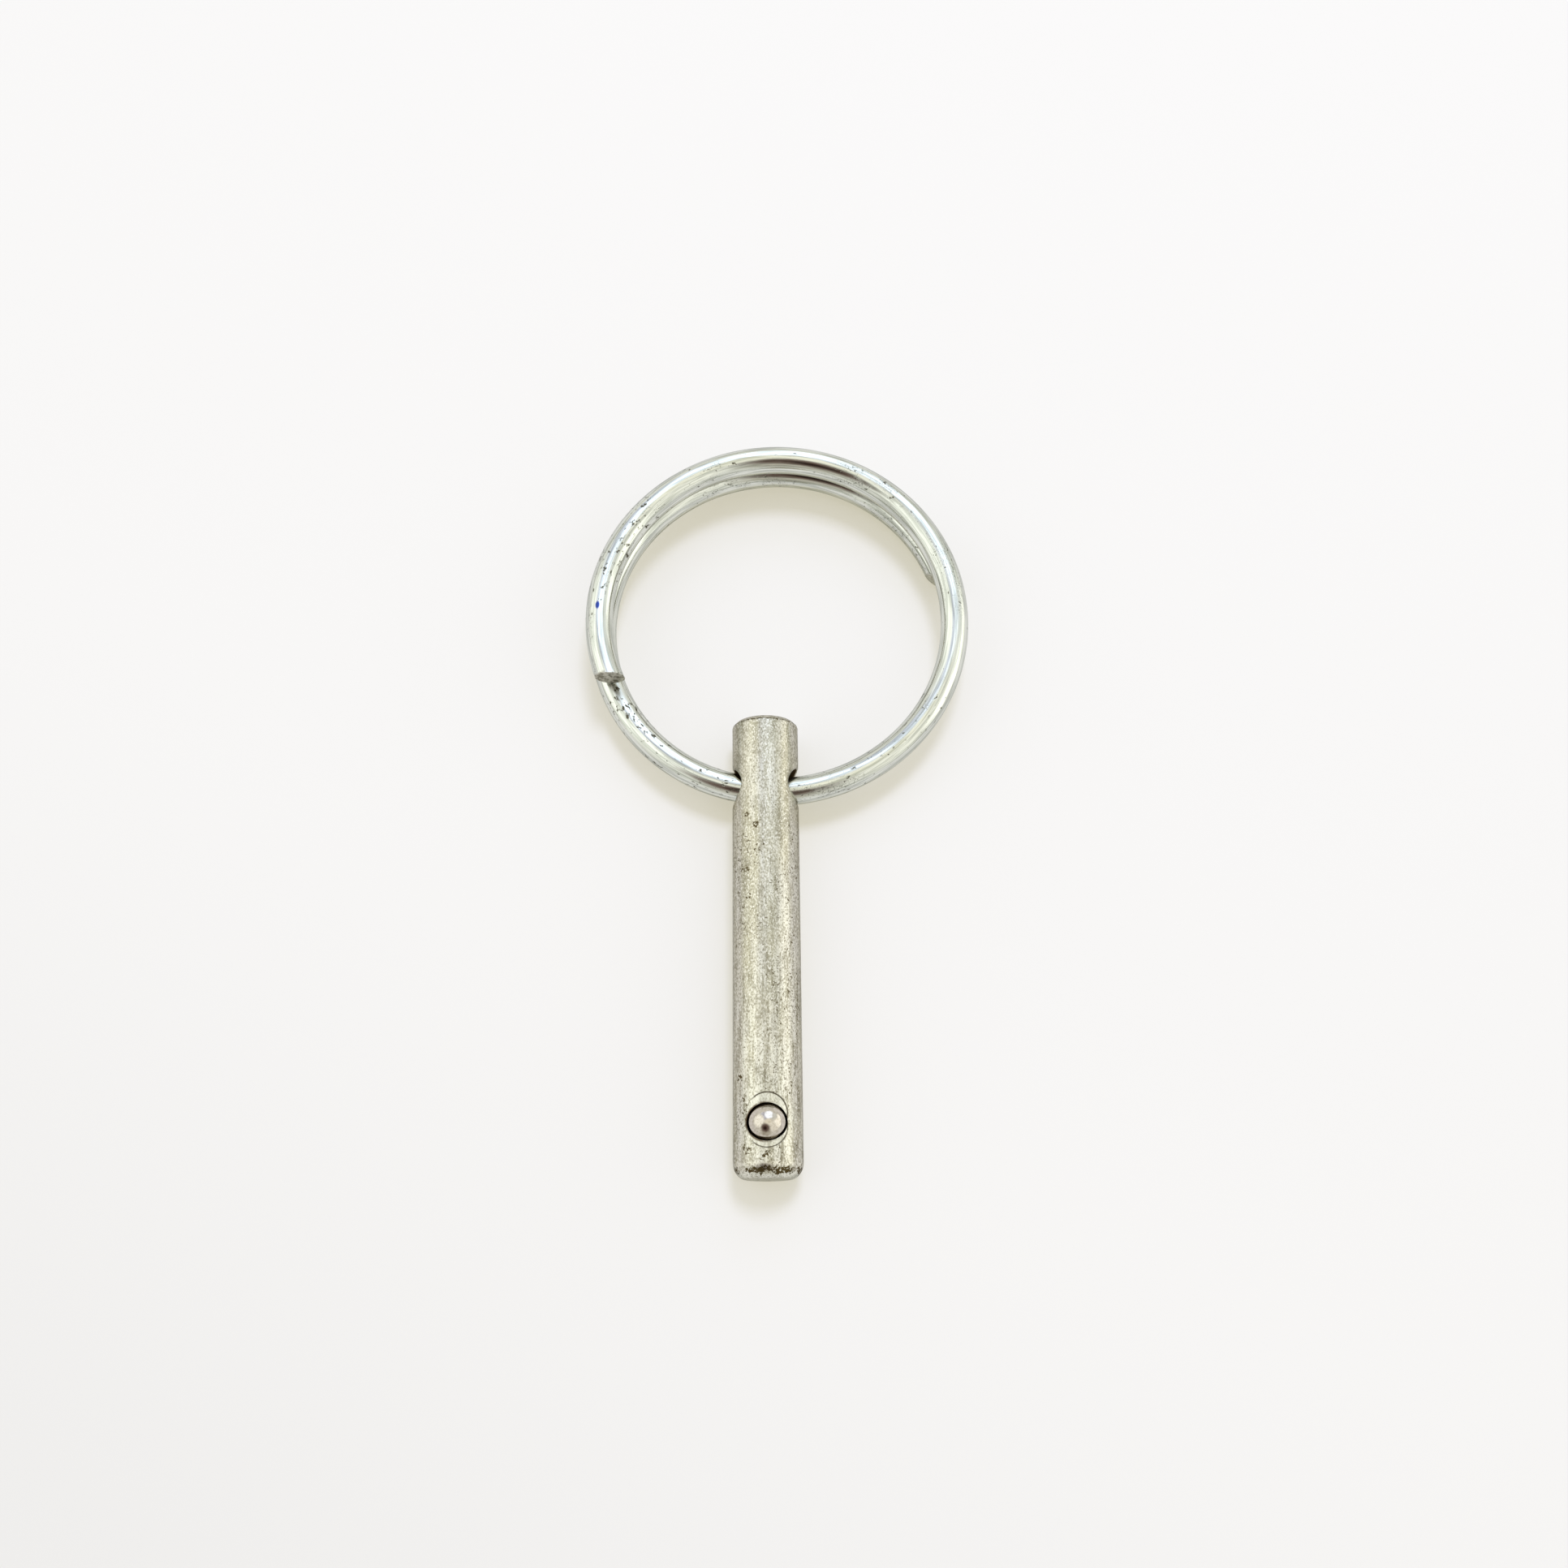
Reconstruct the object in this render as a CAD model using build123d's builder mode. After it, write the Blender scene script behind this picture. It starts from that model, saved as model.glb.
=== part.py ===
from build123d import *
from math import asin, cos, degrees, radians, sin, sqrt, tan
import os

# Ring-grip detent pin, lying as it comes to rest on a flat surface. Millimetres, +Z up.
# The shank lies along Y, its tip towards -Y and its head inside the ring. The sprung ball is
# on top. The origin is on the shank's axis at the start of the grip, beside the ring's hole.

# Shank: drawn round bar, cut off and bevelled at both ends. Tumbling has rounded the bevels
# and worn both ends, outside the grip, a hair under size.
shank_diameter = 6.35
grip_length = 27.8
tip_land = 3.0
head_land = 4.75
grip_margin = 0.08
head_bevel = 0.45
tip_bevel_length = 0.95
tip_bevel_depth = 0.70
bevel_easing = 0.28
end_wear = 0.01

# Ring: about one and a half turns of round wire, close wound, with sheared ends
wire_diameter = 2.7
ring_inner_diameter = 32.3
coil_gap = 0.15
low_end_angle = 16.5
high_end_angle = 201.2
low_end_skew = 46.0
high_end_skew = 23.5
ring_side_shift = 1.34
span_count = 27

# Hole for the ring: loose enough for the curved wire to swing and run round in it
ring_hole_play = 0.435
wire_bearing_gap = 0.07
hole_easing = 0.34

# Detent: ball, the two staked lips that keep it in, blind bore and spring
ball_diameter = 3.572
ball_rise = 0.62
ball_sink = 0.04
bore_clearance = 0.024
lip_reach = 0.14
lip_gap = 0.012
bore_floor = 0.8
drill_point_angle = 118.0
stake_depth = 0.07
stake_radius = 1.88
punch_flatness = 0.25
head_stake_shift = 0.76
tip_stake_shift = 0.42
spring_wire_diameter = 0.35
spring_mean_diameter = 2.6
spring_turns = 3.0
spring_seat_gap = 0.02

# Places along the shank
shank_radius = shank_diameter / 2
worn_radius = shank_radius - end_wear
wire_radius = wire_diameter / 2
ring_hole_radius = wire_radius + ring_hole_play
ring_hole_y = ring_hole_radius + hole_easing + grip_margin
head_y = ring_hole_y + ring_hole_radius + head_land
ball_radius = ball_diameter / 2
bore_radius = ball_radius + bore_clearance
ball_y = -(grip_length + bore_radius)
tip_y = ball_y - bore_radius - tip_land
floor_z = -shank_radius

# Heights in the detent. The ball stops where its section is as wide as the lips leave it.
ball_z = shank_radius + ball_rise - ball_radius
mouth_half_length = bore_radius - lip_reach
lip_under_z = ball_z + sqrt(ball_radius**2 - (mouth_half_length - lip_gap) ** 2)
bore_bottom_z = floor_z + bore_floor
cone_slope = 1 / tan(radians(drill_point_angle / 2))
bore_corner_z = bore_bottom_z + cone_slope * bore_radius
ball_travel = ball_rise + ball_sink

# The spring stands on the drill point's cone and carries the underside of the ball.
spring_radius = spring_mean_diameter / 2
spring_wire_radius = spring_wire_diameter / 2
spring_stand_off = spring_wire_radius + spring_seat_gap
spring_bottom_z = (
    bore_bottom_z + cone_slope * spring_radius + spring_stand_off * sqrt(1 + cone_slope**2)
)
spring_top_z = ball_z - sqrt((ball_radius + spring_stand_off) ** 2 - spring_radius**2)
spring_length = spring_top_z - spring_bottom_z

# The ring's wire bears on the tip side of its hole. Its low end lies on the surface, and the
# ring leans so that the wire passes the shank at the height of the hole. Angles run from +X.
ring_mean_radius = ring_inner_diameter / 2 + wire_radius
ring_pitch = wire_diameter + coil_gap
wire_sag = ring_hole_play - wire_bearing_gap
ring_centre_y = ring_hole_y - wire_sag + ring_mean_radius
angle_to_hole = 270 - degrees(asin(ring_side_shift / ring_mean_radius)) - low_end_angle
rise_to_hole = ring_pitch * angle_to_hole / 360
low_end_y = ring_mean_radius * sin(radians(low_end_angle))
hole_y_in_ring = -sqrt(ring_mean_radius**2 - ring_side_shift**2)
hole_lift = shank_radius - wire_radius
ring_lean = asin((rise_to_hole - hole_lift) / (low_end_y - hole_y_in_ring))
ring_low_z = floor_z + wire_radius - low_end_y * sin(ring_lean)

# Wire swept past both ends, to be sheared off askew, in equal spans that join end to end
most_skew = max(low_end_skew, high_end_skew)
spare_angle = degrees(wire_diameter * tan(radians(most_skew)) / ring_mean_radius)
swept_angle = 360 + high_end_angle - low_end_angle + 2 * spare_angle
span_angle = swept_angle / span_count
spare_share = spare_angle / swept_angle
first_angle = low_end_angle - spare_angle
shear_reach = 3 * wire_diameter


# Shank: turned outline
with BuildPart() as shank:
    with BuildSketch(Plane.XY):
        with BuildLine():
            Polyline(
                (0, tip_y),
                (worn_radius - tip_bevel_depth, tip_y),
                (worn_radius, tip_y + tip_bevel_length),
                (shank_radius, -grip_length),
                (shank_radius, 0),
                (worn_radius, head_y - head_bevel),
                (worn_radius - head_bevel, head_y),
                (0, head_y),
                close=True,
            )
        make_face()
        least_radius = shank_radius / 2
        most_radius = shank_radius - end_wear / 2
        bevel_corners = vertices().filter_by_position(Axis.X, least_radius, most_radius)
        fillet(bevel_corners, radius=bevel_easing)
    revolve(axis=Axis.Y)

    # Ring's hole, straight across, with tumbled rims
    with Locations(Plane(origin=(shank_radius, ring_hole_y, 0), z_dir=(1, 0, 0))):
        Hole(radius=ring_hole_radius)
    hole_rims = shank.edges(Select.LAST).filter_by(GeomType.LINE, reverse=True)
    fillet(hole_rims, radius=hole_easing)

    # Stake marks: a punch with a saddle face, a little flatter than the shank, was struck on
    # each side of the ball's mouth
    punch_radius = shank_radius + punch_flatness
    punch_axis_z = shank_radius - stake_depth - punch_radius
    for stake_shift in (head_stake_shift, -tip_stake_shift):
        with BuildPart(mode=Mode.PRIVATE) as stake:
            with BuildSketch(Plane.XY):
                with Locations((0, ball_y + stake_shift)):
                    Circle(stake_radius)
            extrude(amount=shank_diameter)
            with BuildSketch(Plane.XZ.offset(-ball_y)):
                with Locations((0, punch_axis_z)):
                    Circle(punch_radius)
            extrude(amount=shank_diameter, both=True, mode=Mode.SUBTRACT)
        add(stake.part, mode=Mode.SUBTRACT)

    # Ball's bore, drilled blind from the top, and its mouth between the two lips
    with BuildSketch(Plane.XZ.offset(-ball_y)):
        with BuildLine():
            Polyline(
                (0, bore_bottom_z),
                (bore_radius, bore_corner_z),
                (bore_radius, lip_under_z),
                (0, lip_under_z),
                close=True,
            )
        make_face()
    revolve(axis=Axis((0, ball_y, 0), (0, 0, 1)), mode=Mode.SUBTRACT)
    with BuildSketch(Plane.XY.offset(ball_z)):
        with Locations((0, ball_y)):
            Ellipse(bore_radius, mouth_half_length)
    extrude(amount=shank_diameter, mode=Mode.SUBTRACT)

# One span of the ring's wire, in a plain frame
with BuildPart() as span:
    with BuildLine() as span_path:
        Helix(
            pitch=ring_pitch,
            height=ring_pitch * span_angle / 360,
            radius=ring_mean_radius,
        )
    with BuildSketch(Plane(origin=span_path.line @ 0, z_dir=span_path.line % 0)):
        Circle(wire_radius)
    sweep(path=span_path.line, is_frenet=True)

# Ring's coil: the spans end to end, and each end sheared askew
with BuildPart() as coil:
    for number in range(span_count):
        turned = number * span_angle
        with Locations(Location((0, 0, ring_pitch * turned / 360), (0, 0, turned))):
            add(span.part)
    with BuildLine() as wire_path:
        Helix(
            pitch=ring_pitch,
            height=ring_pitch * swept_angle / 360,
            radius=ring_mean_radius,
        )
    for share, way, skew in (
        (spare_share, -1, low_end_skew),
        (1 - spare_share, 1, high_end_skew),
    ):
        end_point = wire_path.line @ share
        square_cut = Plane(
            origin=end_point,
            x_dir=(end_point.X, end_point.Y, 0),
            z_dir=(wire_path.line % share) * way,
        )
        with BuildSketch(square_cut.moved(Rotation(0, way * skew, 0))):
            Rectangle(shear_reach, ring_pitch)
        extrude(amount=shear_reach, mode=Mode.SUBTRACT)

# Split ring: the coil in its place, through the shank's hole
with BuildPart() as split_ring:
    lean_along = Vector(0, cos(ring_lean), sin(ring_lean))
    ring_frame = Plane(
        origin=(ring_side_shift, ring_centre_y, ring_low_z),
        x_dir=Vector(1, 0, 0) * cos(radians(first_angle)) + lean_along * sin(radians(first_angle)),
        z_dir=(0, -sin(ring_lean), cos(ring_lean)),
    )
    with Locations(ring_frame.offset(-ring_pitch * spare_angle / 360)):
        add(coil.part)

# Ball: a hardened bearing ball
with BuildPart() as detent_ball:
    with Locations((0, ball_y, ball_z)):
        Sphere(ball_radius)

# Spring: round wire, open ends
with BuildPart() as detent_spring:
    with BuildLine() as spring_path:
        Helix(
            pitch=spring_length / spring_turns,
            height=spring_length,
            radius=spring_radius,
            center=(0, ball_y, spring_bottom_z),
        )
    with BuildSketch(Plane(origin=spring_path.line @ 0, z_dir=spring_path.line % 0)):
        Circle(spring_wire_radius)
    sweep(path=spring_path.line, is_frenet=True)

os.makedirs("parts", exist_ok=True)
for name, piece in (
    ("shank", shank),
    ("split_ring", split_ring),
    ("detent_ball", detent_ball),
    ("detent_spring", detent_spring),
):
    piece.part.label = name
    export_step(piece.part, f"parts/{name}.step")
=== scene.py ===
from math import cos, degrees, pi, radians, sin, tan

import bpy
import numpy as np
from mathutils import Matrix, Vector


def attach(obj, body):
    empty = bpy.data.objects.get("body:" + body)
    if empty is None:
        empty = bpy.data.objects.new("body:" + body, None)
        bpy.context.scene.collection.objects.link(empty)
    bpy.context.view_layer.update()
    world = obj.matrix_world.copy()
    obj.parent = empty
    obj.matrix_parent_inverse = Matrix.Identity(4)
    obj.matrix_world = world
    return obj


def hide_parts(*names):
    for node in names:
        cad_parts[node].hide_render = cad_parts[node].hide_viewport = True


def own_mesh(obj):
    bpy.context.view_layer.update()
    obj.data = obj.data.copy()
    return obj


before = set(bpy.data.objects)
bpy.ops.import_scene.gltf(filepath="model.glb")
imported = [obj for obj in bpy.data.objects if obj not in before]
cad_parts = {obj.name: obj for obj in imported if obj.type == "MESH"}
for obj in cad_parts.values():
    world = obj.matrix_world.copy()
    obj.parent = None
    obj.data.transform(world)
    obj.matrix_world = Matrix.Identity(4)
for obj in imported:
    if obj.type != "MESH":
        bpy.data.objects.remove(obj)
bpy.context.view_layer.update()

# Sizes are in millimetres, and everything made here is in metres.
mm = 0.001

# Shank: round bar, bevelled at both ends, and its hole for the ring. A bevel has two corners,
# the one on the bar and the one on the end face, each with its own radius.
shank_radius = 3.175
tip_y = -34.42
head_y = 8.74
head_bevel = 0.45
tip_bevel_length = 0.95
tip_bevel_depth = 0.70
head_corners = (0.28, 0.28)
tip_corners = (1.4, 1.0)
hole_y = 2.205
hole_radius = 1.785
hole_easing = 0.34
floor_z = -shank_radius

# Detent: the ball, its bore, its mouth, the two stake marks and the spring
ball_radius = 1.786
ball_y = -29.61
ball_z = 2.009
bore_radius = 1.81
bore_corner_z = -1.287
bore_bottom_z = -2.375
lip_under_z = 2.673
mouth_half_length = 1.67
stake_radius = 1.88
stake_depth = 0.07
head_stake_shift = 0.76
tip_stake_shift = -0.42
punch_radius = shank_radius + 0.25
spring_radius = 1.3
spring_wire_radius = 0.175
spring_low_z = -1.366
spring_high_z = 0.514
spring_turns = 3

# Ring: one and a half turns of round wire. Angles are in degrees round the coil.
wire_radius = 1.35
ring_radius = 17.5
ring_pitch = 2.85
low_end_angle = 16.5
high_end_angle = 201.2
low_end_skew = 46.0
high_end_skew = 23.5
ring_place = (1.34, 19.34, -1.85761)
ring_lean = 0.00656
spare_angle = degrees(2 * wire_radius * tan(radians(low_end_skew)) / ring_radius)
sweep_start = low_end_angle - spare_angle

# Wear: how wide its hollows are, and how deep
shank_wear = (1.4, 0.008)
ring_wear = (2.2, 0.012)

# Torn ends: a sheared face is drawn in from its rim by these shares in turn, and rises a hair
# with the first. Each end has its own share of torn metal.
near_end_angle = 25
torn_steps = (0.965, 0.86, 0.83, 0.8, 0.74, 0.6, 0.4)
torn_rise = 0.03
low_end_tear = 0.45
high_end_tear = 1.0

# Cutters: how far they reach from the shank's axis. The punch's saddle reaches as far along it.
cross_drill_reach = 4
punch_reach = 5
mouth_reach = 5

# How finely the pieces are divided. The ring's step is in degrees, and the spring's steps are
# those of one turn.
shank_sides = 160
drill_sides = 96
punch_sides = 128
saddle_sides = 256
corner_steps = 6
rim_steps = 1440
wire_sides = 56
wire_step = 1.2
spring_sides = 16
spring_steps = 48
ball_cuts = 39

# Rows along the bar and its hole: the shortest edge to divide, and the cuts of each pass
shank_rows = (30, 7, 25)
hole_rows = (7, 7, 8)

# How near counts as the same place, face or point, and the angle of an edge that stays sharp
same_place = 1e-3
same_face = 0.01
same_point = 1e-4
crease = radians(38)


def start_clean():
    """Leave nothing selected, so that the next operator acts on the new piece alone."""
    if bpy.context.object and bpy.context.object.mode != "OBJECT":
        bpy.ops.object.mode_set(mode="OBJECT")
    bpy.ops.object.select_all(action="DESELECT")


def name_new(name):
    """Name the piece that was just added, and put its place in its mesh."""
    piece = bpy.context.object
    piece.name = name
    piece.data.name = name
    bpy.ops.object.transform_apply(location=True, rotation=True, scale=True)
    return piece


def take_up(piece):
    """Select this piece alone."""
    start_clean()
    piece.select_set(True)
    bpy.context.view_layer.objects.active = piece


def select_faces(piece, wanted):
    """Go into edit mode with just the faces selected whose centre and normal are wanted."""
    take_up(piece)
    mesh = piece.data
    bpy.context.tool_settings.mesh_select_mode = (False, False, True)
    for kind in (mesh.vertices, mesh.edges):
        kind.foreach_set("select", np.zeros(len(kind), bool))
    chosen = [bool(wanted(face.center / mm, face.normal)) for face in mesh.polygons]
    mesh.polygons.foreach_set("select", chosen)
    bpy.ops.object.mode_set(mode="EDIT")


def select_all_faces(piece):
    select_faces(piece, lambda centre, normal: True)


def select_edges(piece, wanted):
    """Go into edit mode with just the edges selected whose two ends are wanted."""
    take_up(piece)
    mesh = piece.data
    bpy.context.tool_settings.mesh_select_mode = (False, True, False)
    for kind in (mesh.vertices, mesh.polygons):
        kind.foreach_set("select", np.zeros(len(kind), bool))
    ends = points_of(piece)[edge_ends(mesh)]
    mesh.edges.foreach_set("select", wanted(ends[:, 0], ends[:, 1]))
    bpy.ops.object.mode_set(mode="EDIT")


def edge_ends(mesh):
    ends = np.zeros(len(mesh.edges) * 2, int)
    mesh.edges.foreach_get("vertices", ends)
    return ends.reshape(-1, 2)


def points_of(piece):
    """The piece's points, in millimetres."""
    points = np.zeros(len(piece.data.vertices) * 3)
    piece.data.vertices.foreach_get("co", points)
    return points.reshape(-1, 3) / mm


def put_points(piece, points):
    piece.data.vertices.foreach_set("co", (points * mm).ravel())
    piece.data.update()


def apply_modifier(piece, kind, **settings):
    take_up(piece)
    modifier = piece.modifiers.new(kind.lower(), kind)
    for name, value in settings.items():
        setattr(modifier, name, value)
    bpy.ops.object.modifier_apply(modifier=modifier.name)


def cut_away(piece, cutter):
    """Cut the cutter's shape out of the piece, and drop the cutter."""
    apply_modifier(piece, "BOOLEAN", object=cutter, operation="DIFFERENCE", solver="EXACT")
    bpy.data.objects.remove(cutter)


def wear_surface(piece, grain, depth):
    """Sink the surface a hair in soft hollows, as tumbling and handling leave it."""
    hollows = bpy.data.textures.new(piece.name + "_hollows", "CLOUDS")
    hollows.noise_scale = grain * mm
    hollows.noise_depth = 2
    apply_modifier(piece, "DISPLACE", texture=hollows, strength=depth * mm, mid_level=1.0)


def smooth_to_creases(piece):
    take_up(piece)
    bpy.ops.object.shade_smooth_by_angle(angle=crease)


def round_bar(name, radius, low, high, around, axis="Z", place=(0, 0, 0)):
    """A plain bar along an axis, from low to high, at a place across it."""
    start_clean()
    turn = {"X": (0, pi / 2, 0), "Y": (pi / 2, 0, 0), "Z": (0, 0, 0)}[axis]
    centre = Vector(place)
    centre["XYZ".index(axis)] = (low + high) / 2
    bpy.ops.mesh.primitive_cylinder_add(
        vertices=around,
        radius=radius * mm,
        depth=(high - low) * mm,
        location=centre * mm,
        rotation=turn,
    )
    return name_new(name)


def wind_wire(name, radius, sides, coil_radius, turned, rise, steps):
    """Round wire swept up a screw about Z, from +X, through an angle in degrees."""
    start_clean()
    bpy.ops.mesh.primitive_circle_add(
        vertices=sides,
        radius=radius * mm,
        location=(coil_radius * mm, 0, 0),
        rotation=(pi / 2, 0, 0),
    )
    wire = name_new(name)
    apply_modifier(
        wire,
        "SCREW",
        angle=radians(turned),
        screw_offset=rise * mm,
        steps=steps,
        render_steps=steps,
        use_normal_calculate=True,
    )
    return wire


def cut_rows(piece, axis, shortest, *cuts):
    """Divide the edges along an axis that are longer than the shortest, in passes of so many
    cuts each, so that the surface can take wear and rounding."""
    along = "XYZ".index(axis)
    for number in cuts:
        select_edges(piece, lambda a, b: np.abs(a - b)[:, along] > shortest)
        bpy.ops.mesh.subdivide(number_cuts=number)
        shortest /= number + 1
    start_clean()


def bevel_end(piece, y, facing, length, depth, corners):
    """Draw the end face out and in, which leaves a cone, and round both its corners."""
    select_faces(piece, lambda centre, normal: normal.y * facing > 0.9)
    bpy.ops.mesh.extrude_region_move(
        TRANSFORM_OT_translate={"value": (0, facing * length * mm, 0)}
    )
    share = 1 - depth / shank_radius
    bpy.ops.transform.resize(value=(share, 1, share), center_override=(0, y * mm, 0))
    slope = np.arctan2(depth, length)
    turns = (slope, pi / 2 - slope)
    for corner_y, turn, radius in zip((y - facing * length, y), turns, corners):
        select_edges(
            piece,
            lambda a, b, at=corner_y: (np.abs(a[:, 1] - at) < same_place)
            & (np.abs(b[:, 1] - at) < same_place),
        )
        bpy.ops.mesh.bevel(
            offset_type="OFFSET",
            offset=radius * tan(turn / 2) * mm,
            segments=corner_steps,
            profile=0.5,
            affect="EDGES",
            clamp_overlap=False,
        )
    start_clean()


def ease_hole_rims(piece):
    """Roll a ball of the easing radius round each rim of the hole, and lay the wall on it."""
    points = points_of(piece)
    round_hole = np.linspace(0, 2 * pi, rim_steps, endpoint=False)
    reach = hole_radius + hole_easing
    least_aside = 1.2
    most_away = hole_radius + 1.4
    for side in (-1, 1):
        near = np.where(
            (points[:, 0] * side > least_aside)
            & (np.hypot(points[:, 1] - hole_y, points[:, 2]) < most_away)
        )[0]
        rolled = np.stack(
            (
                side
                * np.sqrt(
                    (shank_radius - hole_easing) ** 2 - (reach * np.sin(round_hole)) ** 2
                ),
                hole_y + reach * np.cos(round_hole),
                reach * np.sin(round_hole),
            ),
            axis=1,
        )
        for index in near:
            centre = rolled[np.argmin(((rolled - points[index]) ** 2).sum(axis=1))]
            outward = np.array((centre[0], 0, centre[2]))
            outward /= np.linalg.norm(outward)
            inward = -np.array((0, centre[1] - hole_y, centre[2]))
            inward /= np.linalg.norm(inward)
            away = points[index] - centre
            shares = np.linalg.lstsq(np.stack((outward, inward), axis=1), away, rcond=None)[0]
            distance = np.linalg.norm(away)
            if shares.min() > 0 and distance > hole_easing:
                points[index] = centre + away * hole_easing / distance
    put_points(piece, points)


def strike_stake(shank, shift):
    """Strike one stake mark beside the ball's mouth, with a punch that has a saddle face."""
    at_mark = (0, ball_y + shift, 0)
    punch = round_bar("punch", stake_radius, 0, punch_reach, punch_sides, "Z", at_mark)
    saddle = round_bar(
        "punch_saddle",
        punch_radius,
        ball_y - punch_reach,
        ball_y + punch_reach,
        saddle_sides,
        "Y",
        (0, 0, shank_radius - stake_depth - punch_radius),
    )
    cut_away(punch, saddle)
    cut_away(shank, punch)


def drill_bore(shank):
    """Drill the ball's bore, with its drill point, and cut the oval mouth between the lips."""
    at_ball = (0, ball_y, 0)
    bore = round_bar(
        "bore_drill", bore_radius, bore_corner_z, lip_under_z, drill_sides, "Z", at_ball
    )
    select_faces(bore, lambda centre, normal: normal.z < -0.9)
    bpy.ops.mesh.extrude_region_move(
        TRANSFORM_OT_translate={"value": (0, 0, (bore_bottom_z - bore_corner_z) * mm)}
    )
    bpy.ops.mesh.merge(type="CENTER")
    cut_away(shank, bore)
    mouth = round_bar("mouth", bore_radius, ball_z, mouth_reach, drill_sides, "Z", at_ball)
    bpy.ops.object.mode_set(mode="EDIT")
    bpy.ops.mesh.select_all(action="SELECT")
    bpy.ops.transform.resize(
        value=(1, mouth_half_length / bore_radius, 1), center_override=(0, ball_y * mm, 0)
    )
    cut_away(shank, mouth)


def make_shank():
    """Bar, bevels, hole, stake marks and bore, cut in the order a maker would."""
    low, high = tip_y + tip_bevel_length, head_y - head_bevel
    shank = round_bar("pin_shank", shank_radius, low, high, shank_sides, "Y")
    bevel_end(shank, tip_y, -1, tip_bevel_length, tip_bevel_depth, tip_corners)
    bevel_end(shank, head_y, 1, head_bevel, head_bevel, head_corners)
    cut_rows(shank, "Y", *shank_rows)
    wear_surface(shank, *shank_wear)

    low, high = -cross_drill_reach, cross_drill_reach
    hole = round_bar("hole_drill", hole_radius, low, high, drill_sides, "X", (0, hole_y, 0))
    cut_rows(hole, "X", *hole_rows)
    cut_away(shank, hole)
    ease_hole_rims(shank)

    for shift in (head_stake_shift, tip_stake_shift):
        strike_stake(shank, shift)
    drill_bore(shank)
    select_all_faces(shank)
    bpy.ops.mesh.remove_doubles(threshold=same_point * mm)
    smooth_to_creases(shank)
    return shank


def coil_angle(points):
    """Degrees run along the coil's wire at each point, from the start of the sweep."""
    turned = np.degrees(np.arctan2(points[:, 1], points[:, 0])) % 360
    return turned + 360 * np.round(points[:, 2] / ring_pitch - turned / 360)


def shear_end(ring, run, way, skew):
    """Shear one end off askew, and leave a torn face with a rounded rim."""
    turned = radians(run)
    end_point = Vector(
        (ring_radius * cos(turned), ring_radius * sin(turned), ring_pitch * run / 360)
    )
    radial = Vector((cos(turned), sin(turned), 0))
    along = Vector((-sin(turned), cos(turned), ring_pitch / (2 * pi * ring_radius)))
    along.normalize()
    facing = (along * cos(radians(skew)) + radial * sin(radians(skew))) * way

    def near_end(a, b):
        return np.maximum(abs(coil_angle(a) - run), abs(coil_angle(b) - run)) < near_end_angle

    select_edges(ring, near_end)
    bpy.ops.mesh.bisect(
        plane_co=end_point * mm,
        plane_no=facing,
        use_fill=True,
        clear_outer=True,
        threshold=1e-6,
    )
    bpy.ops.object.mode_set(mode="OBJECT")
    cut_place = end_point.copy()
    select_faces(
        ring,
        lambda centre, normal: normal.dot(facing) > 0.999
        and abs((centre - cut_place).dot(facing)) < same_face,
    )
    for number, share in enumerate(torn_steps):
        bpy.ops.mesh.extrude_region_move(TRANSFORM_OT_translate={"value": (0, 0, 0)})
        bpy.ops.transform.resize(value=(share, share, share), center_override=end_point * mm)
        if number == 0:
            bpy.ops.transform.translate(value=facing * torn_rise * mm)
            end_point = end_point + facing * torn_rise
    start_clean()
    return run, cut_place, facing


def mark_ring(ring, cuts):
    """Keep on the ring, for its material, each point's place along the straightened wire and
    how torn it is."""
    points = points_of(ring)
    run = coil_angle(points)
    outward = np.hypot(points[:, 0], points[:, 1]) - ring_radius
    upward = points[:, 2] - ring_pitch * run / 360
    along = np.radians(run) * ring_radius
    straight = ring.data.attributes.new("along_wire", "FLOAT_VECTOR", "POINT")
    straight.data.foreach_set(
        "vector", (np.stack((along, outward, upward), axis=1) * mm).ravel()
    )
    torn = np.zeros(len(points))
    for (cut_run, cut_place, facing), share in zip(cuts, (low_end_tear, high_end_tear)):
        over = (points - np.array(cut_place)) @ np.array(facing)
        on_face = (over > -same_face / 2) & (abs(run - cut_run) < near_end_angle)
        torn = np.maximum(torn, share * on_face)
    ring.data.attributes.new("sheared", "FLOAT", "POINT").data.foreach_set("value", torn)


def make_ring():
    """Wire swept round a screw, sheared at both ends, leaned and laid in its place."""
    swept = 360 + high_end_angle - low_end_angle + 2 * spare_angle
    ring = wind_wire(
        "wire_ring",
        wire_radius,
        wire_sides,
        ring_radius,
        swept,
        ring_pitch * swept / 360,
        int(swept / wire_step),
    )
    wear_surface(ring, *ring_wear)
    cuts = (
        shear_end(ring, spare_angle, -1, low_end_skew),
        shear_end(ring, swept - spare_angle, 1, high_end_skew),
    )
    select_all_faces(ring)
    bpy.ops.mesh.normals_make_consistent(inside=False)
    start_clean()
    mark_ring(ring, cuts)

    take_up(ring)
    turn = Matrix.Rotation(radians(sweep_start), 4, "Z")
    lift = Matrix.Translation((0, 0, -ring_pitch * spare_angle / 360 * mm))
    lean = Matrix.Rotation(ring_lean, 4, "X")
    ring.matrix_world = Matrix.Translation(Vector(ring_place) * mm) @ lean @ turn @ lift
    bpy.ops.object.transform_apply(location=True, rotation=True, scale=True)
    smooth_to_creases(ring)
    return ring


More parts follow.
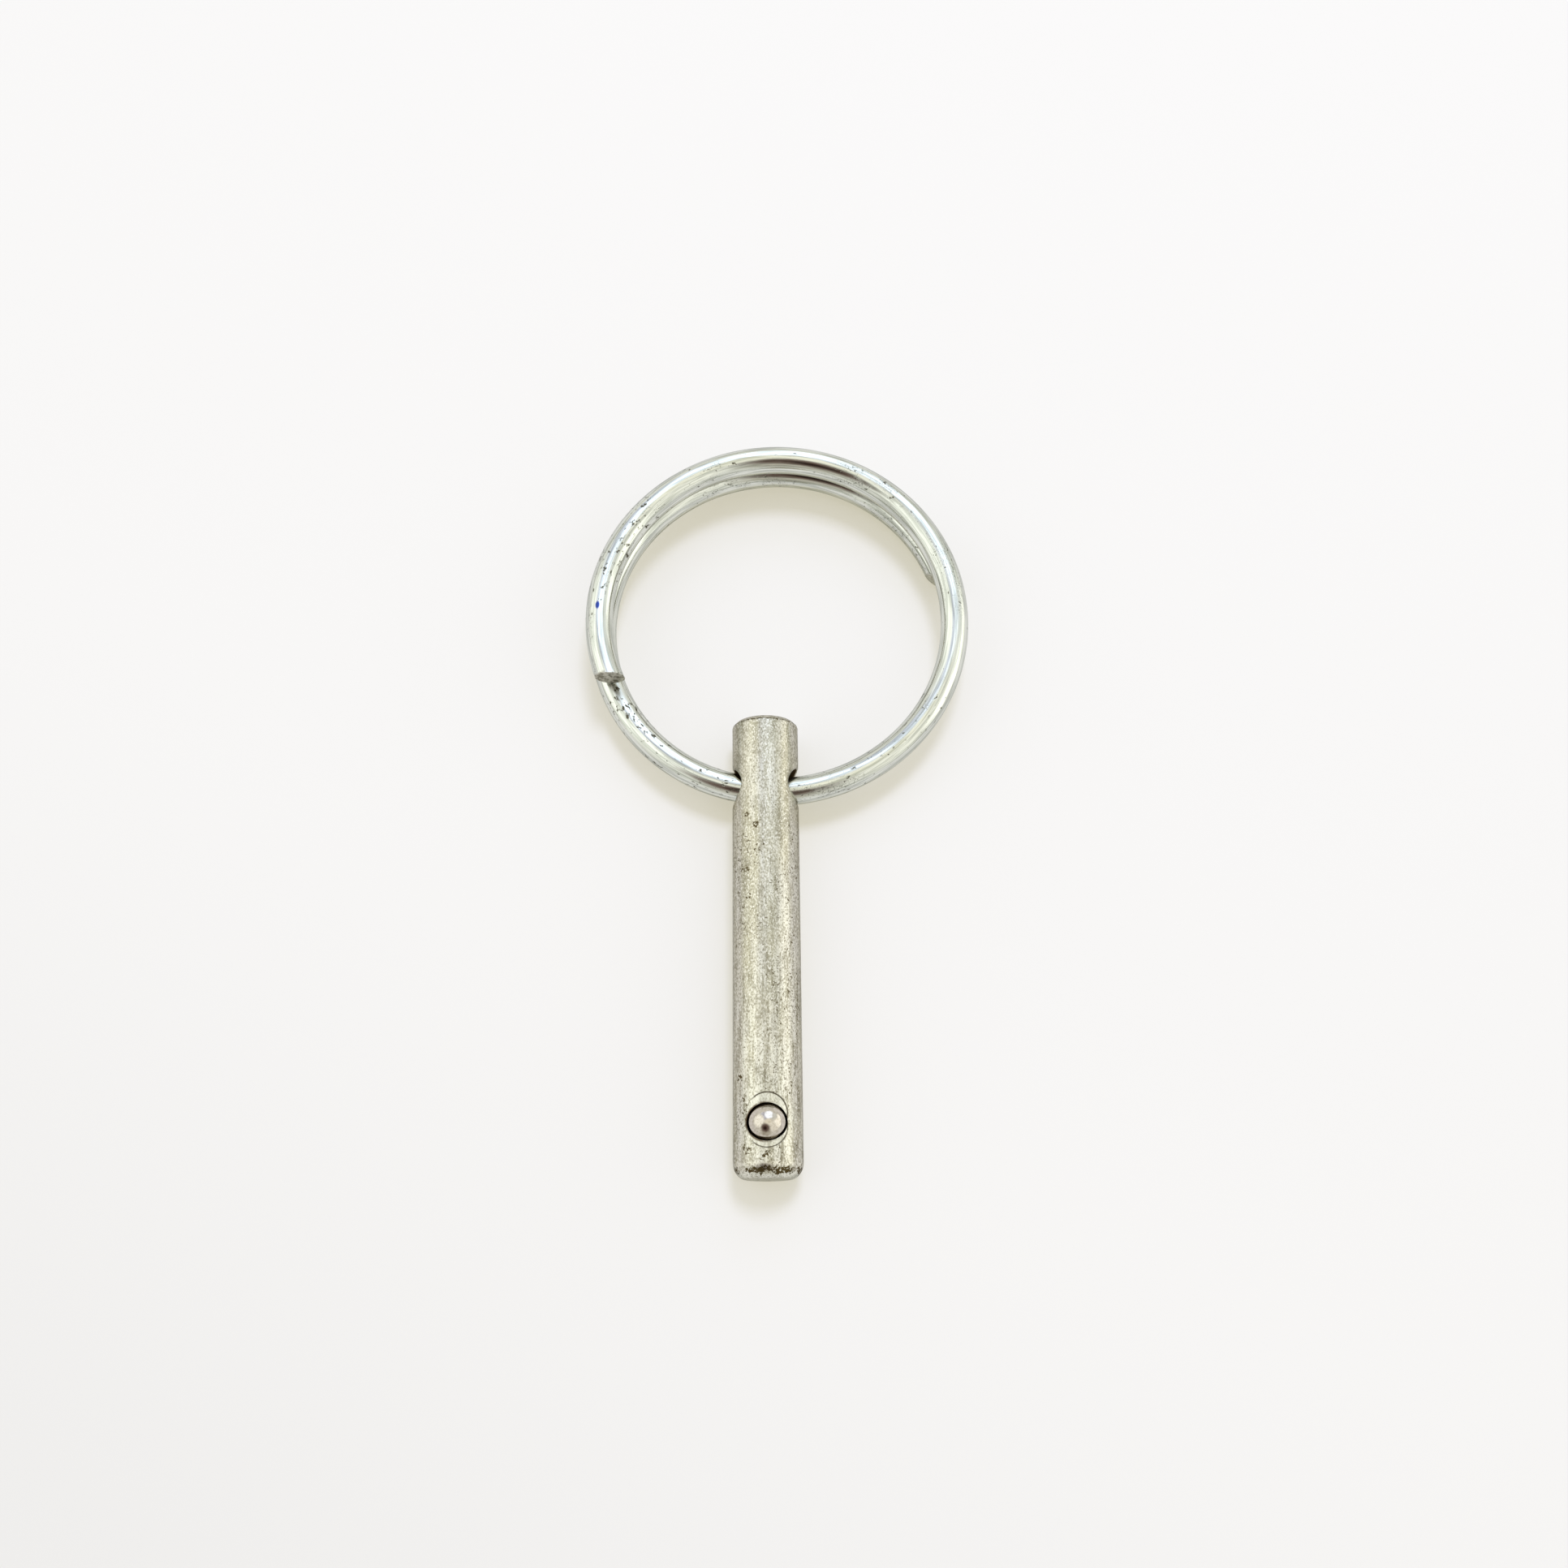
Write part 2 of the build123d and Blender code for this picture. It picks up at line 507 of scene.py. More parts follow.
def make_ball():
    """A block divided finely and drawn out to a true ball, with no poles."""
    start_clean()
    bpy.ops.mesh.primitive_cube_add(size=2 * mm, location=(0, 0, 0))
    ball = name_new("polished_ball")
    bpy.ops.object.mode_set(mode="EDIT")
    bpy.ops.mesh.select_all(action="SELECT")
    bpy.ops.mesh.subdivide(number_cuts=ball_cuts)
    bpy.ops.transform.tosphere(value=1.0)
    start_clean()
    points = points_of(ball)
    points *= ball_radius / np.linalg.norm(points, axis=1)[:, None]
    put_points(ball, points + np.array((0, ball_y, ball_z)))
    take_up(ball)
    bpy.ops.object.shade_smooth()
    return ball


def make_spring():
    """Round wire swept up a screw, cut off square and closed at both ends."""
    spring = wind_wire(
        "ball_spring",
        spring_wire_radius,
        spring_sides,
        spring_radius,
        360 * spring_turns,
        spring_high_z - spring_low_z,
        spring_steps * spring_turns,
    )
    bpy.ops.object.mode_set(mode="EDIT")
    bpy.ops.mesh.select_all(action="SELECT")
    bpy.ops.mesh.fill_holes(sides=0)
    bpy.ops.mesh.normals_make_consistent(inside=False)
    bpy.ops.transform.translate(value=(0, ball_y * mm, spring_low_z * mm))
    smooth_to_creases(spring)
    return spring


# Materials


class Bench:
    """Lays out nodes in one material, world or group."""

    def __init__(self, tree):
        self.tree = tree
        tree.nodes.clear()

    def node(self, kind, inputs=(), **settings):
        made = self.tree.nodes.new(kind)
        for name, value in settings.items():
            setattr(made, name, value)
        for name, value in dict(inputs).items():
            self.feed(made, name, value)
        return made

    def feed(self, node, name, value):
        socket = node.inputs[name]
        if isinstance(value, bpy.types.NodeSocket):
            self.tree.links.new(value, socket)
        else:
            socket.default_value = value

    def group(self, tree, **inputs):
        """Place a shared effect, with this material's own values."""
        made = self.node("ShaderNodeGroup", node_tree=tree)
        for name, value in inputs.items():
            self.feed(made, name, value)
        return made.outputs

    def maths(self, kind, a, b):
        return self.node("ShaderNodeMath", {0: a, 1: b}, operation=kind).outputs[0]

    def plus(self, a, b):
        return self.maths("ADD", a, b)

    def minus(self, a, b):
        return self.maths("SUBTRACT", a, b)

    def times(self, a, b):
        return self.maths("MULTIPLY", a, b)

    def larger(self, a, b):
        return self.maths("MAXIMUM", a, b)

    def at_least(self, value, mask, share):
        """A value, raised to a share of a mask where that is more."""
        return self.larger(value, self.times(mask, share))

    def between(self, value, low, high, start=0.0, end=1.0):
        """From start to end as the value goes softly from low to high."""
        made = self.node(
            "ShaderNodeMapRange",
            {"Value": value, "From Min": low, "From Max": high, "To Min": start, "To Max": end},
            interpolation_type="SMOOTHSTEP",
        )
        return made.outputs["Result"]

    def reaching(self, value, low, high, start=0.0, end=1.0):
        """As between, for a coordinate with its limits in millimetres."""
        return self.between(value, low * mm, high * mm, start, end)

    def band(self, value, low, full, last, high):
        """0 outside low to high and 1 from full to last."""
        return self.times(self.between(value, low, full), self.between(value, last, high, 1, 0))

    def strip(self, value, low, full, last, high):
        """As band, for a coordinate with its limits in millimetres."""
        return self.band(value, low * mm, full * mm, last * mm, high * mm)

    def blend(self, share, a, b, kind="MIX"):
        made = self.node("ShaderNodeMix", data_type="RGBA", blend_type=kind)
        for index, value in ((0, share), (6, a), (7, b)):
            self.feed(made, index, value)
        return made.outputs[2]

    def tint(self, base, paint, mask, share):
        """Lay a colour over the base, as strongly as a share of a mask."""
        return self.blend(self.times(mask, share), base, paint)

    def parts(self, place):
        return self.node("ShaderNodeSeparateXYZ", {"Vector": place}).outputs

    def stretch(self, place, scale, location=(0, 0, 0)):
        made = self.node(
            "ShaderNodeMapping", {"Vector": place, "Scale": scale, "Location": location}
        )
        return made.outputs["Vector"]

    def noise(self, place, scale, detail, roughness=0.55):
        """Soft noise, with its scale in grains per metre."""
        made = self.node(
            "ShaderNodeTexNoise",
            {"Vector": place, "Scale": scale, "Detail": detail, "Roughness": roughness},
        )
        return made.outputs["Fac"]

    def facing(self, direction, axis):
        made = self.node("ShaderNodeVectorMath", {0: direction, 1: axis}, operation="DOT_PRODUCT")
        return made.outputs["Value"]

    def length(self, place, centre, scale):
        """How far a place is from a centre in millimetres, with each direction scaled."""
        moved = [-middle * share for middle, share in zip(centre, scale)]
        scaled = self.stretch(place, [share / mm for share in scale], moved)
        made = self.node("ShaderNodeVectorMath", {0: scaled}, operation="LENGTH")
        return made.outputs["Value"]

    def spot(self, place, centre, radius, scale=(1, 1, 1), softness=0.5):
        """1 in a spot round a centre, falling to 0 at its radius in millimetres."""
        away = self.length(place, centre, scale)
        return self.between(away, radius * (1 - softness), radius, 1, 0)


def colour(red, green, blue):
    """A colour as a screen shows it, from 0 to 255, as the linear one that a node takes."""
    shares = [value / 255 for value in (red, green, blue)]
    linear = [((s + 0.055) / 1.055) ** 2.4 if s > 0.04045 else s / 12.92 for s in shares]
    return (*linear, 1.0)


# Shank's steel, tumbled, streaked, rubbed and soiled; painted highlight and painted shade too
satin_steel = colour(210, 207, 197)
satin_shade = colour(181, 177, 159)
olive_cloud = colour(199, 193, 171)
brown_mottle = colour(158, 152, 134)
shank_hollow = colour(150, 144, 127)
shank_crest = colour(229, 226, 216)
dark_streak = colour(116, 109, 86)
bright_streak = colour(238, 236, 224)
handled_steel = colour(226, 225, 212)
tip_steel = colour(232, 234, 222)
# Lighter bevel rims: rubbed wear and a painted highlight
rubbed_rim_and_highlight = colour(238, 234, 220)
struck_steel = colour(228, 227, 216)
shank_dirt = colour(84, 72, 45)
# Painted shade: dark lines along the stake marks' edges
stake_edge_shade = colour(62, 52, 36)
# A dark brown band round the ball's mouth
mouth_band_brown = colour(84, 64, 40)
# Painted shade inside the bore and the ring's hole
shadow_black = colour(38, 28, 18)
shadow_brown = colour(88, 70, 46)

# Ring's plated wire, its dull patches, dirt and mark, and its torn ends
wire_shade = colour(186, 189, 181)
wire_bright = colour(225, 227, 220)
dull_hollow = colour(120, 122, 112)
dull_crest = colour(170, 172, 162)
wire_dirt = colour(92, 89, 76)
blue_ink = colour(30, 62, 150)
torn_shade = colour(124, 120, 104)
torn_bright = colour(204, 201, 190)

# Ball and spring
ball_bright = colour(203, 195, 184)
ball_hollow = colour(186, 177, 164)
ball_crest = colour(214, 207, 197)
ball_low_specks = colour(70, 60, 48)
spring_bright = colour(150, 146, 138)
spring_oil = colour(105, 98, 86)
spring_hollow = colour(84, 78, 68)
spring_crest = colour(176, 172, 164)

# Tints of the metals at a grazing angle
shank_edge = (0.62, 0.62, 0.60, 1)
wire_edge = (0.74, 0.75, 0.74, 1)
ball_edge = (0.85, 0.84, 0.82, 1)
spring_edge = (1, 1, 1, 1)

# Stains on the shank: degrees from the top towards +X, place along Y, radius and strength
shank_stains = (
    (-34, -1.2, 0.4, 0.5),
    (-16, -2.3, 0.5, 0.55),
    (-4, -4.2, 0.24, 0.5),
    (-42, -5.0, 3.4, 0.22),
    (-38, -12.0, 3.0, 0.2),
    (-38, -6.5, 0.9, 0.33),
    (-30, -9.0, 0.6, 0.33),
    (-51, -25.7, 0.6, 0.45),
    (-3, -32.4, 0.5, 0.4),
    (-36, -32.0, 0.7, 0.45),
)
# Soiled lengths of the wire: first and last angle round the coil, and strength
soiled_wire = ((206, 236, 0.2), (244, 263, 0.2), (284, 330, 0.13), (492, 530, 0.2))
# Pits below the ring's high end: angle round the coil, outward, upward and radius
wire_pits = (
    (203.8, -0.24, 1.3, 0.4),
    (206.5, 0.21, 1.3, 0.35),
    (207.4, -0.29, 1.3, 0.3),
    (210.6, 0.23, 1.3, 0.45),
    (206.5, 0.97, 0.9, 0.4),
)


def new_material(name):
    material = bpy.data.materials.new(name)
    material.use_nodes = True
    return material, Bench(material.node_tree)


def new_effect(name, inputs, outputs):
    """An effect that several materials share, with its sockets."""
    tree = bpy.data.node_groups.new(name, "ShaderNodeTree")
    for way, sockets in (("INPUT", inputs), ("OUTPUT", outputs)):
        for socket, kind in sockets.items():
            tree.interface.new_socket(socket, in_out=way, socket_type="NodeSocket" + kind)
    bench = Bench(tree)
    given = bench.node("NodeGroupInput").outputs
    return tree, bench, given, bench.node("NodeGroupOutput")


def make_metal_grain():
    """Fine grain in the metal: darker hollows and lighter crests over its own colour."""
    tree, bench, given, made = new_effect(
        "metal_grain",
        {"Place": "Vector", "Scale": "Float", "Base": "Color", "Hollow": "Color", "Crest": "Color"},
        {"Color": "Color", "Height": "Float"},
    )
    grain = bench.noise(given["Place"], given["Scale"], 2)
    sunk = bench.blend(bench.between(grain, 0.3, 0.5, 1, 0), given["Base"], given["Hollow"])
    raised = bench.blend(bench.between(grain, 0.5, 0.7), sunk, given["Crest"])
    bench.feed(made, "Color", raised)
    bench.feed(made, "Height", grain)
    return tree


def make_grime():
    """Specks of dirt, thick where the surface is grimy and absent where it is clean."""
    tree, bench, given, made = new_effect(
        "grime",
        {"Place": "Vector", "Scale": "Float", "Where": "Float", "Base": "Color", "Dirt": "Color"},
        {"Color": "Color", "Mask": "Float"},
    )
    specks = bench.noise(given["Place"], given["Scale"], 2, 0.6)
    mask = bench.between(bench.plus(specks, bench.times(given["Where"], 0.5)), 0.68, 0.8)
    bench.feed(made, "Color", bench.blend(mask, given["Base"], given["Dirt"]))
    bench.feed(made, "Mask", mask)
    return tree


def finish_metal(bench, base, edge, rough, height, strength, depth):
    """Bare metal with its colour, its tint at the edge, its roughness, and its bumps with their
    strength and depth."""
    bump = bench.node(
        "ShaderNodeBump", {"Height": height, "Strength": strength, "Distance": depth * mm}
    )
    metal = bench.node(
        "ShaderNodeBsdfPrincipled",
        {
            "Base Color": base,
            "Metallic": 1.0,
            "Roughness": rough,
            "Specular Tint": edge,
            "Normal": bump.outputs["Normal"],
        },
    )
    bench.node("ShaderNodeOutputMaterial", {"Surface": metal.outputs["BSDF"]})


def shank_metal(bench, place, mottle, cloud):
    """Satin steel, clouded and mottled, streaked along the bar and most of all near the tip,
    rubbed bright round the ball and on the tip's face, and lighter on both bevel rims, with
    rubbed wear and a painted highlight."""
    along = bench.parts(place)["Y"]
    streak = bench.noise(bench.stretch(place, (1, 0.08, 1)), 1000, 3)
    drawn = bench.noise(bench.stretch(place, (1, 0.1, 1), (0.03, 0, 0)), 2300, 2)
    near_tip = bench.reaching(along, -26, -8, 1.0, 0.5)
    base = bench.blend(bench.between(streak, 0.4, 0.62), satin_steel, satin_shade)
    base = bench.blend(bench.between(cloud, 0.4, 0.62, 0.45, 0), base, olive_cloud)
    base = bench.blend(bench.between(mottle, 0.46, 0.7, 0, 0.55), base, brown_mottle)
    streaked = bench.times(
        bench.between(drawn, 0.52, 0.64), bench.between(cloud, 0.36, 0.6, 0.35, 0.85)
    )
    base = bench.tint(base, dark_streak, streaked, near_tip)
    base = bench.tint(base, bright_streak, bench.between(drawn, 0.36, 0.46, 0.6, 0), near_tip)
    handled = bench.spot(place, (0, ball_y + 0.4, 3.0), 3.2, (1, 0.7, 1), 0.6)
    base = bench.tint(base, handled_steel, handled, 0.4)
    tip_face = bench.reaching(along, tip_y + 0.45, tip_y + 0.7, 0.55, 0)
    base = bench.blend(tip_face, base, tip_steel)
    # Both bevel rims lighter in ragged bands: rubbed wear and a painted highlight
    for low, high, share in ((tip_y + 1.0, tip_y + 1.45, 0.6), (head_y - 0.42, head_y - 0.1, 0.45)):
        rim = bench.strip(along, low, low + 0.12, high - 0.15, high)
        rim = bench.times(rim, bench.between(mottle, 0.35, 0.55, 0.3, 1))
        base = bench.tint(base, rubbed_rim_and_highlight, rim, share)
    return base


def shank_grime(bench, place, mottle, cloud):
    """Where dirt lies on the shank: in clouds, in a ragged band round the tip, in a line under
    the head's bevel and in stains."""
    along = bench.parts(place)["Y"]
    where = bench.between(cloud, 0.42, 0.66, 0.0, 0.24)
    ragged = bench.plus(along, bench.times(bench.minus(mottle, 0.5), 1.1 * mm))
    tip_band = bench.strip(ragged, tip_y + 0.3, tip_y + 0.55, tip_y + 0.85, tip_y + 1.1)
    tip_band = bench.times(tip_band, bench.between(cloud, 0.4, 0.6, 0.16, 0.7))
    where = bench.larger(where, tip_band)
    head_line = bench.strip(along, head_y - 0.56, head_y - 0.48, head_y - 0.44, head_y - 0.38)
    where = bench.at_least(where, head_line, 0.6)
    for angle, y, radius, share in shank_stains:
        turned = radians(angle)
        stain = (shank_radius * sin(turned), y, shank_radius * cos(turned))
        where = bench.at_least(where, bench.spot(place, stain, radius), share)
    return where


def stake_marks(bench, place):
    """Masks of the two stake marks: their struck faces, and painted shade along their edges."""
    across, up = bench.parts(place)["X"], bench.parts(place)["Z"]
    on_top = bench.reaching(up, 2.3, 2.5)
    in_sight = bench.times(on_top, bench.reaching(across, -1.5, -1.0))
    struck, lines = 0.0, 0.0
    for shift, share in ((head_stake_shift, 0.95), (tip_stake_shift, 0.8)):
        away = bench.length(place, (0, ball_y + shift, 0), (1, 1, 0))
        face = bench.between(away, stake_radius - 0.18, stake_radius - 0.12, 1, 0)
        struck = bench.larger(struck, face)
        # Painted shade: a dark line along the mark's edge, left out where X is below -1.5 mm
        line = bench.band(
            away, stake_radius - 0.16, stake_radius - 0.10, stake_radius - 0.06, stake_radius
        )
        lines = bench.at_least(lines, bench.times(line, in_sight), share)
    return bench.times(struck, on_top), lines


def mouth_masks(bench, place, mottle):
    """Masks of a dark brown band round the ball's mouth, strongest towards -X, and of the painted
    shade inside the bore and the ring's hole."""
    parts = bench.parts(place)
    across, up = parts["X"], parts["Z"]
    from_mouth = bench.length(
        place, (-0.02, ball_y - 0.02, 0), (1 / bore_radius, 1 / mouth_half_length, 0)
    )
    # A dark brown band just outside the mouth, on the top, strongest towards -X
    mouth_band = bench.times(
        bench.between(from_mouth, 1.03, 1.11, 0.85, 0), bench.reaching(across, -0.6, 1.0, 1, 0.1)
    )
    mouth_band = bench.times(mouth_band, bench.reaching(up, 2.3, 2.5))
    mouth_band = bench.times(mouth_band, bench.between(mottle, 0.38, 0.55, 0.4, 1))
    # Painted shade: the bore's inside and the ring's hole are darkened where the gap is shaded
    bore_shadow = bench.times(
        bench.between(from_mouth, 1.005, 1.03, 1, 0),
        bench.strip(up, bore_bottom_z - 0.2, bore_bottom_z - 0.1, 2.72, 2.95),
    )
    hole_shadow = bench.between(bench.length(place, (0, hole_y, 0), (0, 1, 1)), 1.80, 1.87, 1, 0)
    return mouth_band, bench.larger(bore_shadow, hole_shadow)


def shank_finish():
    """Tumbled steel: satin grain, faint olive streaks along the bar, dark specks, grime on the
    bevels, a dark brown band round the ball's mouth, and painted shade along the stake marks'
    edges, in the bore and in the ring's hole."""
    material, bench = new_material("tumbled_shank_steel")
    place = bench.node("ShaderNodeTexCoord").outputs["Object"]
    mottle = bench.noise(bench.stretch(place, (1, 0.5, 1)), 1500, 3)
    cloud = bench.noise(bench.stretch(place, (1, 0.4, 1)), 360, 2)
    struck, lines = stake_marks(bench, place)
    mouth_band, inside = mouth_masks(bench, place, mottle)
    grained = bench.group(
        metal_grain,
        Place=bench.stretch(place, (1, 0.6, 1)),
        Scale=7800.0,
        Base=shank_metal(bench, place, mottle, cloud),
        Hollow=shank_hollow,
        Crest=shank_crest,
    )
    where = bench.times(shank_grime(bench, place, mottle, cloud), bench.minus(1.0, struck))
    dirty = bench.group(
        grime,
        Place=place,
        Scale=4600.0,
        Where=where,
        Base=grained["Color"],
        Dirt=shank_dirt,
    )
    base = bench.tint(dirty["Color"], struck_steel, struck, 0.32)
    # Painted shade along the stake marks' edges
    base = bench.blend(lines, base, stake_edge_shade)
    base = bench.blend(mouth_band, base, mouth_band_brown)
    along = bench.parts(place)["Y"]
    # Painted shade inside the bore and the ring's hole: black towards the tip, brown towards the
    # head
    gap_shadow = bench.blend(bench.reaching(along, ball_y - 0.8, ball_y + 1.2), shadow_black, shadow_brown)
    base = bench.blend(inside, base, gap_shadow)

    rough = bench.between(mottle, 0.3, 0.7, 0.27, 0.37)
    rough = bench.at_least(rough, bench.at_least(inside, dirty["Mask"], 0.55), 0.8)
    height = bench.plus(grained["Height"], bench.times(mottle, 1.6))
    finish_metal(bench, base, shank_edge, rough, height, strength=0.4, depth=0.012)
    return material


def wire_run(angle):
    """How far along the wire the ring's coil is at an angle, in metres."""
    return radians(angle - sweep_start) * ring_radius * mm


def on_wire(angle, outward, upward):
    """A place on the straightened wire, in millimetres."""
    return (wire_run(angle) / mm, outward, upward)


def ring_finish():
    """Bright plated wire: fine drawing lines along it, dull mottled patches, nicks, and torn
    grey steel on the sheared ends."""
    material, bench = new_material("bright_ring_wire")
    along = bench.node("ShaderNodeAttribute", attribute_name="along_wire").outputs["Vector"]
    sheared = bench.node("ShaderNodeAttribute", attribute_name="sheared").outputs["Fac"]
    lines = bench.noise(bench.stretch(along, (0.04, 1, 1)), 5200, 3)
    spots = bench.noise(bench.stretch(along, (0.4, 1, 1)), 1300, 3)
    cloud = bench.noise(bench.stretch(along, (0.25, 1, 1)), 420, 2)
    base = bench.blend(bench.between(lines, 0.36, 0.6), wire_shade, wire_bright)
    dull = bench.times(bench.between(cloud, 0.5, 0.66), bench.between(spots, 0.42, 0.58))
    grained = bench.group(
        metal_grain,
        Place=along,
        Scale=5200.0,
        Base=base,
        Hollow=bench.tint(base, dull_hollow, dull, 0.9),
        Crest=bench.tint(base, dull_crest, dull, 0.6),
    )

    run = bench.parts(along)["X"]
    where = bench.between(cloud, 0.46, 0.64, 0.0, 0.1)
    for first, last, share in soiled_wire:
        soiled = bench.band(
            run, wire_run(first - 4), wire_run(first), wire_run(last), wire_run(last + 6)
        )
        where = bench.at_least(where, soiled, share)
    for angle, outward, upward, radius in wire_pits:
        pit = bench.spot(along, on_wire(angle, outward, upward), radius)
        where = bench.at_least(where, pit, 0.5)
    dirty = bench.group(
        grime,
        Place=bench.stretch(along, (0.6, 1, 1)),
        Scale=2700.0,
        Where=where,
        Base=grained["Color"],
        Dirt=wire_dirt,
    )
    ink = bench.spot(along, on_wire(537.1, 0.07, 1.35), 0.27, (0.5, 1, 1), 0.5)
    base = bench.tint(dirty["Color"], blue_ink, ink, 0.95)
    torn = bench.noise(along, 2100, 3, 0.7)
    torn_face = bench.blend(bench.between(torn, 0.36, 0.6), torn_shade, torn_bright)
    base = bench.blend(sheared, base, torn_face)

    scuffed = bench.spot(along, on_wire(205.5, 0.0, 1.3), 1.5, (1, 1, 1), 0.4)
    rough = bench.between(spots, 0.3, 0.7, 0.08, 0.15)
    rough = bench.plus(rough, bench.times(scuffed, 0.2))
    rough = bench.plus(rough, bench.times(dull, 0.14))
    rough = bench.at_least(rough, dirty["Mask"], 0.4)
    rough = bench.at_least(rough, sheared, 0.5)
    height = bench.plus(lines, bench.times(spots, 1.5))
    height = bench.minus(height, bench.times(dirty["Mask"], 2.0))
    height = bench.plus(height, bench.times(bench.times(torn, sheared), 8.0))
    finish_metal(bench, base, wire_edge, rough, height, strength=0.3, depth=0.012)
    return material


def ball_finish():
    """Hard bright ball, lightly scuffed, with dark brown specks low down, next to its bore."""
    material, bench = new_material("hardened_ball_steel")
    place = bench.node("ShaderNodeTexCoord").outputs["Object"]
    scuffs = bench.noise(place, 3500, 3)
    grained = bench.group(
        metal_grain,
        Place=place,
        Scale=5200.0,
        Base=ball_bright,
        Hollow=ball_hollow,
        Crest=ball_crest,
    )
    # Dark brown specks low on the ball, next to its bore
    dirty = bench.group(
        grime,
        Place=place,
        Scale=2600.0,
        Where=bench.reaching(bench.parts(place)["Z"], 2.3, 2.75, 0.7, 0.0),
        Base=grained["Color"],
        Dirt=ball_low_specks,
    )
    rough = bench.at_least(bench.between(scuffs, 0.3, 0.7, 0.015, 0.04), dirty["Mask"], 0.5)
    finish_metal(bench, dirty["Color"], ball_edge, rough, scuffs, strength=0.1, depth=0.01)
    return material


def spring_finish():
    """Oiled spring wire."""
    material, bench = new_material("oiled_spring_wire")
    place = bench.node("ShaderNodeTexCoord").outputs["Object"]
    oil = bench.noise(place, 2500, 3)
    grained = bench.group(
        metal_grain,
        Place=place,
        Scale=6800.0,
        Base=bench.blend(bench.between(oil, 0.35, 0.65), spring_bright, spring_oil),
        Hollow=spring_hollow,
        Crest=spring_crest,
    )
    rough = bench.between(oil, 0.3, 0.7, 0.25, 0.45)
    base, height = grained["Color"], grained["Height"]
    finish_metal(bench, base, spring_edge, rough, height, strength=0.15, depth=0.01)
    return material


def dress(piece, material, body, slot, *nodes):
    """Give a finished piece its material, its body and the solid that it stands for."""
    piece.data.materials.clear()
    piece.data.materials.append(material)
    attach(piece, body)
    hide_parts(*nodes)


# Studio

# Paper, in metres: its size, how far it is under the pin, and the way its painted shade lightens
floor_size = 3
floor_gap = 2e-6
light_way = (0.5, 0.86, 0)
light_ends = (-0.11, -0.01)
paper_white = (0.64, 0.655, 0.83, 1)
warm_white = (0.93, 0.87, 0.60, 1)

# Room, from its walls to straight overhead, and its soft patches. Each has its azimuth from +X
# towards +Y, its angle down from overhead, the angle to which it is full and the one where it
# ends, all in degrees, then its strength and its colour.
room_low = (0.87, 0.87, 0.82, 1)
room_high = (0.95, 0.95, 0.88, 1)
room_patches = (
    (0, 6, 4, 28, 1.0, (1.14, 1.12, 0.97, 1)),
    (118, 38, 12, 30, 0.95, (0.77, 0.82, 0.98, 1)),
    (38, 50, 8, 24, 0.9, (0.88, 0.91, 0.88, 1)),
    (75, 42, 15, 28, 1.0, (1.65, 1.82, 2.1, 1)),
    (170, 49, 22, 38, 1.0, (1.42, 1.44, 1.35, 1)),
    (335, 52, 18, 34, 0.9, (1.16, 1.15, 1.05, 1)),
    (8, 73, 19, 34, 1.0, (1.58, 1.58, 1.47, 1)),
    (36, 56, 7, 19, 0.9, (0.86, 0.89, 0.86, 1)),
    (262, 62, 12, 34, 0.7, (0.42, 0.38, 0.30, 1)),
    (253, 36, 13, 31, 1.0, (0.16, 0.11, 0.09, 1)),
    (251, 38, 4, 13, 0.9, (0.03, 0.015, 0.012, 1)),
)

# Camera: its place in millimetres, and its own axes
camera_place = (4.015, -44.251, 143.788)
camera_right = (0.999762, -0.01073378, -0.01899272)
camera_up = (0.01609035, 0.95070035, 0.30969331)
camera_back = (0.0147322, -0.30992521, 0.95064679)


def make_floor():
    """White paper, with painted shade a little darker at one corner. Half of what is seen of it is
    a warm glow, so that its shadows stay light and creamy."""
    start_clean()
    bpy.ops.mesh.primitive_plane_add(size=floor_size, location=(0, 0, floor_z * mm - floor_gap))
    floor = name_new("studio_floor")
    material, bench = new_material("pale_floor")
    place = bench.node("ShaderNodeTexCoord").outputs["Object"]
    # Painted shade: the paper and its glow darken towards one corner
    painted_falloff = bench.between(bench.facing(place, light_way), *light_ends, 0.93, 1.0)
    paper = bench.blend(1.0, paper_white, painted_falloff, "MULTIPLY")
    shown = bench.blend(1.0, warm_white, painted_falloff, "MULTIPLY")
    paint = bench.node("ShaderNodeBsdfDiffuse", {"Color": paper})
    glow = bench.node("ShaderNodeEmission", {"Color": shown, "Strength": 1.0})
    rays = bench.node("ShaderNodeLightPath").outputs
    seen = bench.larger(rays["Is Camera Ray"], rays["Is Glossy Ray"])
    seen = bench.larger(seen, rays["Is Transmission Ray"])
    share = bench.times(seen, 0.5)
    both = bench.node("ShaderNodeMixShader", {0: share, 1: paint.outputs[0], 2: glow.outputs[0]})
    bench.node("ShaderNodeOutputMaterial", {"Surface": both.outputs[0]})
    floor.data.materials.append(material)


def towards(azimuth, from_zenith):
    """A direction at an azimuth, from +X towards +Y, and an angle down from straight overhead."""
    round_by, down = radians(azimuth), radians(from_zenith)
    return Vector((sin(down) * cos(round_by), sin(down) * sin(round_by), cos(down)))


